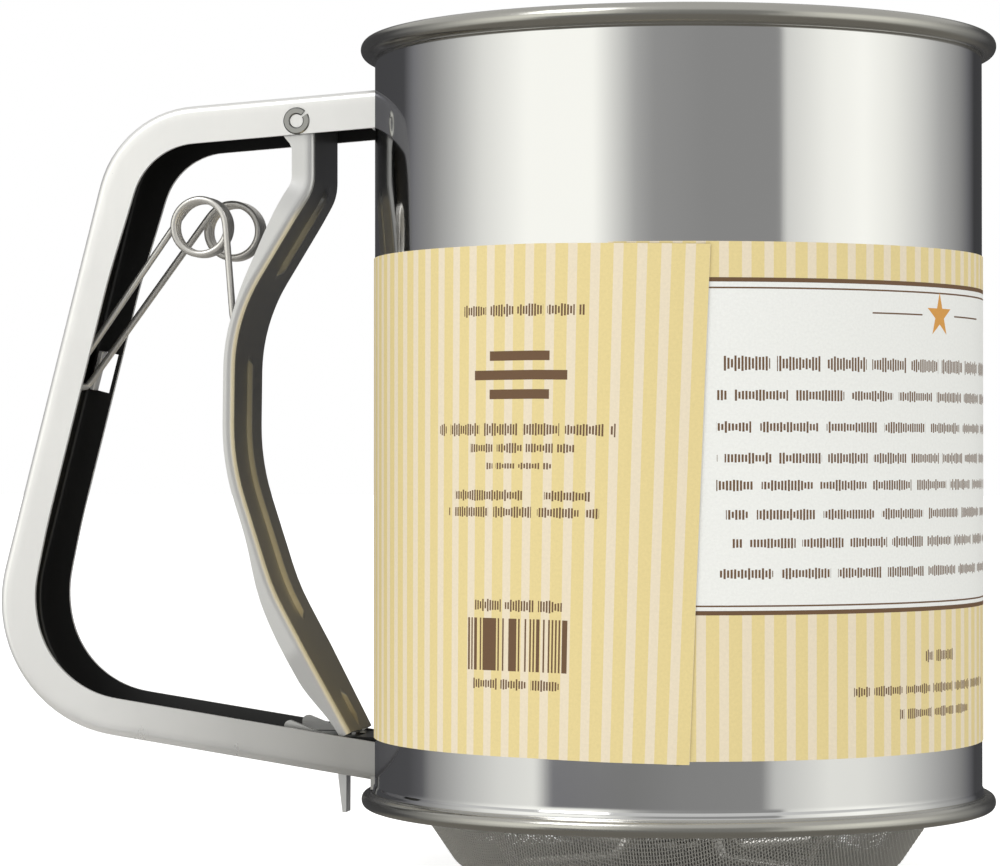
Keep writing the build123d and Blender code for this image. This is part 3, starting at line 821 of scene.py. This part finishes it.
def swept_channel(name, path, section_at, materials, darker, end_at=None):
    """A channel carried along a plane path in (x, z); the section may change along it.

    Outer and inner skins are runs of one closed outline; the columns given as darker have the
    second material, a darker steel that is painted shade."""
    n = normals_of(path)
    rows = []
    for k in range(len(path)):
        outer, inner = section_at(k)
        outline = np.concatenate([outer, inner[::-1]])
        x = path[k, 0] + n[k, 0] * outline[:, 0]
        z = path[k, 1] + n[k, 1] * outline[:, 0]
        rows.append(np.stack([x, outline[:, 1], z], 1))
        lasts = len(outer)
    points = np.array(rows)
    if end_at is not None:
        points = end_at(points)
    count, columns = points.shape[:2]
    faces = grid_faces(count, columns, False, True)
    slots = np.isin(faces[:, 0] % columns, darker).astype(int)
    pairs = np.arange(lasts - 1)
    caps, other = [], columns - 1
    for row, flip in ((0, 1), (count - 1, -1)):
        a = row * columns
        quad = np.stack([a + pairs, a + pairs + 1, a + other - pairs - 1, a + other - pairs], 1)
        caps.append(quad[:, ::flip])
    caps = np.concatenate(caps)
    faces = np.concatenate([faces, caps])
    slots = np.concatenate([slots, np.zeros(len(caps), int)])
    return make_piece(name, points.reshape(-1, 3), faces, 38.0, slots=slots, materials=materials)


def cut(piece, *cutters):
    """Take solids away from a piece with exact booleans, and drop the cutters."""
    for cutter in cutters:
        modifier = piece.modifiers.new("cut", "BOOLEAN")
        modifier.operation = "DIFFERENCE"
        modifier.solver = "EXACT"
        modifier.object = cutter
    depsgraph = bpy.context.evaluated_depsgraph_get()
    mesh = bpy.data.meshes.new_from_object(piece.evaluated_get(depsgraph))
    piece.modifiers.clear()
    old = piece.data
    piece.data = mesh
    bpy.data.meshes.remove(old)
    for cutter in cutters:
        bpy.data.objects.remove(cutter)
    mesh.set_sharp_from_angle(angle=math.radians(38.0))
    return piece


def block(low, high):
    """A plain box to cut with."""
    low, high = np.array(low, float), np.array(high, float)
    bits = np.array([[(k >> 2) & 1, (k >> 1) & 1, k & 1] for k in range(8)])
    points = low + bits * (high - low)
    faces = [(0, 1, 3, 2), (4, 6, 7, 5), (0, 4, 5, 1), (2, 3, 7, 6), (0, 2, 6, 4), (1, 5, 7, 3)]
    return make_piece("cutter", points, faces)


def pin_cutter(radius):
    """A round bar along Y through the pivot, to cut with."""
    t = np.linspace(0, 2 * np.pi, 40, endpoint=False)
    circle = np.stack([pivot[0] + radius * np.cos(t), pivot[1] + radius * np.sin(t)], 1)
    points = np.concatenate([np.insert(circle, 1, -15.0, axis=1), np.insert(circle, 1, 15.0, axis=1)])
    k = np.arange(40)
    sides = np.stack([k, (k + 1) % 40, (k + 1) % 40 + 40, k + 40], 1)
    faces = [tuple(f) for f in sides.tolist()] + [tuple(range(39, -1, -1)), tuple(range(40, 80))]
    mesh = bpy.data.meshes.new("pin_cutter")
    mesh.from_pydata((points * MM).tolist(), [], faces)
    return linked("pin_cutter", mesh)


def lean_with_back(level):
    """Carries a piece from the origin to the handle's back at one height, leaning with it."""
    share = (upper_turn[1] - level) / (upper_turn[1] - lower_turn[1])
    x = upper_turn[0] + share * (lower_turn[0] - upper_turn[0])
    lean = math.atan2(upper_turn[0] - lower_turn[0], upper_turn[1] - lower_turn[1])
    move = mathutils.Matrix.Translation((x * MM, 0, level * MM))
    return move @ mathutils.Matrix.Rotation(lean, 4, "Y")


def window_tab():
    """The tab lanced from the window, bent in beside the spring's end."""
    face = handle_half - handle_sheet
    low = (window_inset, face - window_width, -window_half)
    tab = block(low, (window_inset + handle_sheet, face + 0.2, window_half))
    tab.name = "lanced_spring_tab"
    bevel = tab.modifiers.new("worn_edges", "BEVEL")
    bevel.width = 0.15 * MM
    bevel.segments = 2
    tab.data.transform(lean_with_back(window_z))
    return tab


def handle_piece():
    """The handle's channel, with its slots and the roll pin's holes."""
    corner_points = [upper_wall + [1.0, 0.07], upper_turn, lower_turn, lower_wall + [1.0, -0.15]]
    path = resampled(rounded(corner_points, [18.0, 23.0], 4.0), 1.6)
    back = soft_step(path[:, 1], 40.0, 62.0) * (1 - soft_step(path[:, 1], 98.0, 118.0))
    depth = handle_depth - 0.8 * back * (path[:, 0] < upper_turn[0])

    def section(k):
        return channel_section(handle_half, depth[k], handle_sheet, 1.3)

    def meet_wall(points):
        for row, inward in ((0, 1), (-1, -2)):
            far = np.sqrt(cup_radius ** 2 - points[row, :, 1] ** 2)
            step = points[row] - points[inward]
            share = (-far - points[row, :, 0]) / step[:, 0]
            points[row] += step * share[:, None]
        return points

    # The inner skin's columns take the near-black steel: painted shade inside the channel.
    inside = np.arange(27, 53)
    finishes = [satin, channel_painted_shade]
    piece = swept_channel("handle_channel_steel", path, section, finishes, inside, meet_wall)
    low = (window_inset, handle_half - 2, -window_half)
    side_window = block(low, (window_inset + window_width, handle_half + 2, window_half))
    side_window.data.transform(lean_with_back(window_z))
    tongue_slot = block((-cup_radius - 25.7, -1.95, 5.0), (-cup_radius - 4.2, 1.95, 21.3))
    return cut(piece, side_window, tongue_slot, pin_cutter(2.3))


def end_tabs():
    """The two bent ends of the handle that lie on the cup's wall, one inside each arm's mouth."""
    pieces = []
    low_tab = bead_z + bead_radius + 0.1
    for name, half, low, high in (("upper", 9.2, 124.4, 129.6), ("lower", 10.0, low_tab, 15.2)):
        y, z = np.meshgrid(np.linspace(-half, half, 17), np.linspace(low, high, 7), indexing="ij")
        radii = (cup_radius + handle_sheet, cup_radius + 0.01)
        skins = [np.stack([-np.sqrt(r ** 2 - y ** 2), y, z], -1).reshape(-1, 3) for r in radii]
        points = np.concatenate(skins)
        pieces.append(make_piece(f"handle_{name}_tab", points, shell_faces(*y.shape), 40.0))
    return pieces


# ---- trigger lever ----
def lever_path():
    """The web's face towards the cup, from above the pin down to the crease, in (x, z)."""
    top_x = pivot[0] + 2.85
    bulge = -cup_radius - 23.4
    bends = [(top_x, 0.888), (bulge, 0.673), (bulge - 0.3, 0.44), (bulge + 6.6, 0.2306)]
    span = pivot[1] - lever_end[1]
    points = [(top_x, pivot[1] + 2.6), *((x, lever_end[1] + share * span) for x, share in bends)]
    points.append(lever_end + [0.3, -0.55])
    return resampled(rounded(points, [8.0, 30.0, 40.0, 40.0], 3.0), 0.9)


def soft_step(x, low, high):
    """0 below one limit, 1 above the other, smooth between."""
    t = np.clip((x - low) / (high - low), 0, 1)
    return t * t * (3 - 2 * t)


def rib(z, y, low, high, half, rise):
    """Height of a pressed rib with rounded ends, between two heights of the lever."""
    middle = np.clip(z, low + half, high - half)
    far = np.hypot(z - middle, y) / half
    return rise * np.clip(1 - far ** 3, 0, 1) ** 0.5


def lever_piece():
    """The folded lever: web, flanges that narrow downwards and three pressed ribs."""
    path = lever_path()
    z = path[:, 1]
    end_z = z[-1]
    wide = 9.1 + 1.1 * soft_step(-z, -116.5, -108.0)
    taper = np.clip((z - end_z) / 14.0, 0, 1)
    half = 8.8 + (wide - 8.8) * taper
    depth = 5.7 - 1.8 * soft_step(-z, -124.0, -121.0) - 2.1 * soft_step(-z, -112.0, -92.0)
    depth = depth + 1.7 * soft_step(-z, -58.0, -38.0) - 1.6 * soft_step(-z, -33.0, -23.0)
    sheet, web_points = 0.7, 59
    ribs = [(0.4, 100.3, 114.6, 1.35, 0.8), (0.4, 41.5, 85.5, 1.1, 0.7), (0.0, 23.9, 28.7, 0.9, 0.5)]
    rows = []
    for k in range(len(path)):
        outer, inner = channel_section(half[k], depth[k], sheet, 1.2, web_points)
        for skin, web in ((outer, outer[:, 0] < 0.02), (inner, inner[:, 0] < sheet + 0.02)):
            y = skin[web, 1]
            for aside, low, high, width, rise in ribs:
                skin[web, 0] -= rib(z[k], y - aside, low, high, width, rise)
        rows.append((outer, inner))

    skin_points = web_points + 20
    # The web's outer face and the inner skin take the darker steel: painted shade.
    inside = np.arange(skin_points - 1, 2 * skin_points - 1)
    darker = np.concatenate([np.arange(8, skin_points - 9), inside])
    finishes = [flange_steel, lever_web_painted_shade]
    piece = swept_channel("trigger_lever_steel", path[::-1], lambda k: rows[-1 - k], finishes, darker)
    return cut(piece, pin_cutter(2.35))


def tongue_piece():
    """The narrow tongue below the crease: a flat strip along a bent line."""
    x, z = lever_end
    bends = [(x - 1.0, z + 1.0), (x - 0.5, z - 0.6), (x - 0.95, z - 2.2), (x - 2.75, 15.2), (x - 2.35, 8.25)]
    line = resampled(rounded(bends, [1.0, 2.5, 5.0], 6.0), 0.6)
    below = soft_step(-line[:, 1], -16.5, -14.5)
    gutter = 0.66 + 0.9 * below * np.clip((line[:, 1] - 8.25) / 7.0, 0, 1)
    outline = sheet_outline(line, gutter[:, None])
    half = 1.65
    count = len(outline)
    points = np.concatenate([np.insert(outline, 1, -half, axis=1), np.insert(outline, 1, half, axis=1)])
    k = np.arange(count)
    sides = np.stack([k, (k + 1) % count, (k + 1) % count + count, k + count], 1)
    m = len(line)
    pairs = np.arange(m - 1)
    cap = np.stack([pairs, pairs + 1, count - 2 - pairs, count - 1 - pairs], 1)
    faces = np.concatenate([sides, cap[:, ::-1], cap + count])
    return make_piece("lever_tongue", points, faces[:, ::-1], 40.0)


# ---- spring, pin, agitator ----
def spring_path():
    """Centre line of the torsion spring: lever hook, near coil, handle bridge, far coil, lever hook."""
    coil = 4.7
    turns = 3 + 146 / 360
    halves = []
    for side in (-1, 1):
        centre = np.array([-cup_radius - 28.9 + side * 1.3, pivot[1] - 17.5])
        a = np.radians(np.linspace(0, 360 * turns, 120))
        y = side * (7.85 - 1.2 * a / (2 * np.pi))
        helix = np.stack([centre[0] + coil * np.cos(a), y, centre[1] + coil * np.sin(a)], 1)
        hook = np.array([-cup_radius - 24.2, side * 7.85, centre[1] - 16.0])
        tip = hook + [1.2, 0.0, -1.2]
        foot = np.array([-cup_radius - 54.4 + side * 0.4, side * 5.0, pivot[1] - 44.4])
        halves.append(np.concatenate([[tip, hook], helix, [foot, foot + [-0.1, -side * 1.0, -0.1]]]))
    line = np.concatenate([halves[0], halves[1][::-1]])
    runs = np.linalg.norm(np.diff(line, axis=0), axis=1)
    length = np.concatenate([[0], np.cumsum(runs)])
    at = np.linspace(0, length[-1], 900)
    fine = np.stack([np.interp(at, length, line[:, k]) for k in range(3)], 1)
    kernel = np.ones(5) / 5
    for _ in range(2):
        padded = np.pad(fine, ((2, 2), (0, 0)), mode="edge")
        fine[2:-2] = np.stack([np.convolve(padded[:, k], kernel, "valid") for k in range(3)], 1)[2:-2]
    return fine


def roll_pin_piece():
    """The rolled pin: an open ring section carried across the handle, with rounded mouths."""
    gap, seam, outer, bore, chamfer = 9.0, 40.0, 2.3, 1.1, 0.22
    a = np.radians(np.linspace(seam + gap, seam + 360 - gap, 41))
    reach = (pin_high[1] - pin_low[1]) / 2
    rows = []
    for share in (-1.0, -0.97, -0.5, 0.5, 0.97, 1.0):
        mouth = chamfer * (abs(share) == 1.0)
        rings = [
            np.stack([pivot[0] + r * np.cos(a), np.full_like(a, share * reach), pivot[1] + r * np.sin(a)], 1)
            for r in (outer - mouth, bore + mouth)
        ]
        rows.append(np.concatenate([rings[0], rings[1][::-1]]))
    points = np.array(rows)
    count, columns = points.shape[:2]
    faces = grid_faces(count, columns, False, True)
    m = len(a)
    pairs = np.arange(m - 1)
    cap = np.stack([pairs, pairs + 1, columns - 2 - pairs, columns - 1 - pairs], 1)
    row, column = faces[:, 0] // columns, faces[:, 0] % columns
    # The bore's faces take the matt near-black steel: painted shade inside the pin.
    bore_side = (column >= m) & (row > 0) & (row < count - 2)
    slots = np.concatenate([bore_side.astype(int), np.zeros(2 * len(cap), int)])
    faces = np.concatenate([faces, cap, cap[:, ::-1] + (count - 1) * columns])
    finishes = [pin_steel, bore_painted_shade]
    return make_piece("split_roll_pin", points.reshape(-1, 3), faces, 30.0, slots=slots, materials=finishes)


def agitator_path():
    """Centre line of one agitator wire in (radius, height): out, down, along the sieve, up, back."""
    run_z = 2.5
    low_z = hub_low[2] + 2.3
    top_z = arm_high[2] - 1.0
    low_r = floor_radius - 2.6 - 0.6
    high_r = low_r + (top_z - run_z) * (brim_radius - floor_radius) / (bead_z - 0.1)
    high_r = min(high_r, brim_radius - 2.6)
    points = [(2.4, low_z), (8.6, low_z), (12.4, run_z), (low_r, run_z), (high_r, top_z), (2.4, top_z)]
    return resampled(rounded(points, [2.5, 2.5, 3.0, 3.0], 8.0), 0.8)


# ---- put it together ----
def finish_piece(piece, body, materials, replaced=()):
    """Give a new piece its materials, its body and the nodes that it stands for."""
    for material in materials:
        piece.data.materials.append(material)
    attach(piece, body)
    if replaced:
        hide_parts(*replaced)
    return piece


finish_piece(cup_piece(), "cup", [], ["body_shell"])
finish_piece(ring_piece(), "cup", [rim_steel], ["base_ring"])
for name, along_x, low, high in (
    ("sieve_warp_left", True, -60, 0), ("sieve_warp_right", True, 0, 60),
    ("sieve_weft_front", False, -60, 0), ("sieve_weft_back", False, 0, 60),
):
    finish_piece(sieve_wires(name, along_x, low, high), "cup", [mesh_steel], ["sieve_mesh"])
finish_piece(label_piece(), "cup", [label_material()], ["label_sleeve"])
finish_piece(handle_piece(), "cup", [], ["handle_channel"])
for tab in [window_tab(), *end_tabs()]:
    finish_piece(tab, "cup", [satin], ["handle_channel"])
finish_piece(lever_piece(), "trigger", [], ["trigger_lever"])
finish_piece(tongue_piece(), "trigger", [flange_steel], ["trigger_lever"])
finish_piece(roll_pin_piece(), "cup", [], ["roll_pin"])

spring = rod_piece("double_torsion_spring", spring_path(), 0.6, 12)
spring.data.materials.append(wire_steel)
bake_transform(spring)
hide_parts("torsion_spring")

plane_path = agitator_path()
for number in range(4):
    turn = math.radians(45 + 90 * number)
    out, up = plane_path.T
    line = np.stack([out * math.cos(turn), out * math.sin(turn), up], 1)
    wire = rod_piece(f"agitator_arm_{number + 1}", line, 1.0, 12)
    finish_piece(wire, "agitator", [wire_steel], [f"agitator_wire_{number + 1}"])



# Painted shade: the drive link is near black up to 0.95 mm above its lowest point, so only what rises above its
# flat strip keeps the steel colour.
link_painted_shade_steel = steel(
    "drive_link_steel", (0.86, 0.86, 0.85), 0.3, grain=0.05, smudge=0.08, ripple=0.05, metallic=0.8,
    painted_fade=((0.05, 0.05, 0.05), [("Z", link_low[2] + 1.05, link_low[2] + 0.95)]),
)
cad_finishes = {
    "crossbar": inner_steel, "drive_link": link_painted_shade_steel, "crank_plate": inner_steel, "top_washer": inner_steel,
    "bottom_washer": inner_steel, "push_nut": wire_steel, "axle_pin": pin_steel, "crank_pin": pin_steel,
    "agitator_hub": pin_steel, "crossbar_rivets": pin_steel,
}
for node, material in cad_finishes.items():
    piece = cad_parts[node]
    piece.data.materials.clear()
    piece.data.materials.append(material)


# ---- floor, light ----
def pale_floor():
    """A wide pale floor just under the sieve."""
    size, drop = 6000.0, -0.02
    points = [(-size, -size, drop), (size, -size, drop), (size, size, drop), (-size, size, drop)]
    floor = make_piece("pale_floor", points, [(0, 1, 2, 3)])
    material, tree, shader = new_material("pale_floor_paint")
    fine = noise(tree, coordinates(tree, "Object")[0], 60.0, 3.0)
    tree.links.new(mixed(tree, fine, (0.90, 0.90, 0.90), (0.94, 0.94, 0.94)), shader.inputs["Base Color"])
    shader.inputs["Roughness"].default_value = 0.8
    shader.inputs["Emission Color"].default_value = (1, 1, 1, 1)
    shader.inputs["Emission Strength"].default_value = 0.8
    floor.data.materials.append(material)
    floor.visible_glossy = False


def studio():
    """White studio with two dark screens low down: one behind the object, one by the camera.

    The light depends on the direction's turn about the vertical and on its height."""
    world = bpy.data.worlds.new("studio")
    bpy.context.scene.world = world
    world.use_nodes = True
    tree = world.node_tree
    tree.nodes.clear()
    parts = coordinates(tree, "Generated")[1]
    turn = maths(tree, "ARCTAN2", parts["Y"], parts["X"])
    turn = maths(tree, "MULTIPLY", turn, 180 / math.pi)
    seen_from = maths(tree, "SUBTRACT", turn, front_turn)
    seen_from = maths(tree, "WRAP", seen_from, 180.0, -180.0)
    rise = parts["Z"]

    def around(stops):
        """A ramp over the turn, from pairs of angle and brightness."""
        ramp = tree.nodes.new("ShaderNodeValToRGB")
        elements = ramp.color_ramp.elements
        while len(elements) < len(stops):
            elements.new(0.5)
        for element, (angle, level) in zip(elements, stops):
            element.position = (angle + 180) / 360
            warm = 1.0 - 0.06 * min(level, 1.0) if level > 0.2 else 1.05
            element.color = (level, level, level * warm, 1)
        tree.links.new(maths(tree, "DIVIDE", maths(tree, "ADD", seen_from, 180.0), 360.0), ramp.inputs[0])
        return ramp.outputs[0]

    middle_band = around([
        (-180, 0.055), (-128, 0.07), (-120, 0.2), (-108, 0.32), (-94, 0.55), (-80, 0.86), (-60, 1.15), (-34, 1.15),
        (-26, 0.78), (-18, 0.44), (-11, 0.33), (8, 0.29), (35, 0.29), (37.5, 0.76), (55, 1.05), (70, 1.15),
        (84, 1.0), (100, 0.72), (112, 0.48), (128, 0.29), (138, 0.15), (146, 0.05), (180, 0.055),
    ])
    low_band = around([
        (-180, 0.06), (-124, 0.08), (-114, 0.12), (-108, 0.28), (-90, 0.55), (-72, 0.8), (-57, 0.9),
        (-50, 0.2), (-20, 0.22), (-2, 0.26), (28, 0.28), (33, 0.62), (55, 0.9), (70, 0.88),
        (84, 0.76), (100, 0.56), (112, 0.42), (128, 0.26), (138, 0.14), (146, 0.06), (180, 0.06),
    ])
    below = spread(tree, rise, -0.07, -0.03, 1.0, 0.0)
    upper = mixed(tree, below, middle_band, low_band)
    upper = mixed(tree, spread(tree, rise, -0.45, -0.25, 1.0, 0.0), upper, (0.22, 0.21, 0.19))
    upper = mixed(tree, spread(tree, rise, 0.35, 0.5, 0.0, 1.0), upper, (0.62, 0.62, 0.61))
    path = tree.nodes.new("ShaderNodeLightPath")
    colour = mixed(tree, path.outputs["Is Camera Ray"], upper, (1.0, 1.0, 1.0))
    bpy.context.scene.view_settings.view_transform = "Standard"
    background = tree.nodes.new("ShaderNodeBackground")
    tree.links.new(colour, background.inputs["Color"])
    background.inputs["Strength"].default_value = 1.0
    output = tree.nodes.new("ShaderNodeOutputWorld")
    tree.links.new(background.outputs[0], output.inputs["Surface"])


def soft_light(name, spot, target, size, power):
    """A square soft light aimed at a point, all in millimetres."""
    data = bpy.data.lights.new(name, "AREA")
    data.size = size * MM
    data.energy = power
    light = bpy.data.objects.new(name, data)
    spot, target = np.array(spot, float), np.array(target, float)
    direction = (target - spot) / np.linalg.norm(target - spot)
    yaw = math.atan2(direction[0], -direction[1])
    pitch = math.acos(-direction[2])
    light.location = spot * MM
    light.rotation_euler = (pitch, 0.0, yaw + math.pi)
    bpy.context.scene.collection.objects.link(light)


pale_floor()
studio()
soft_light("key_light", (-500, -700, 900), (-20, 0, 70), 500, 3.0)
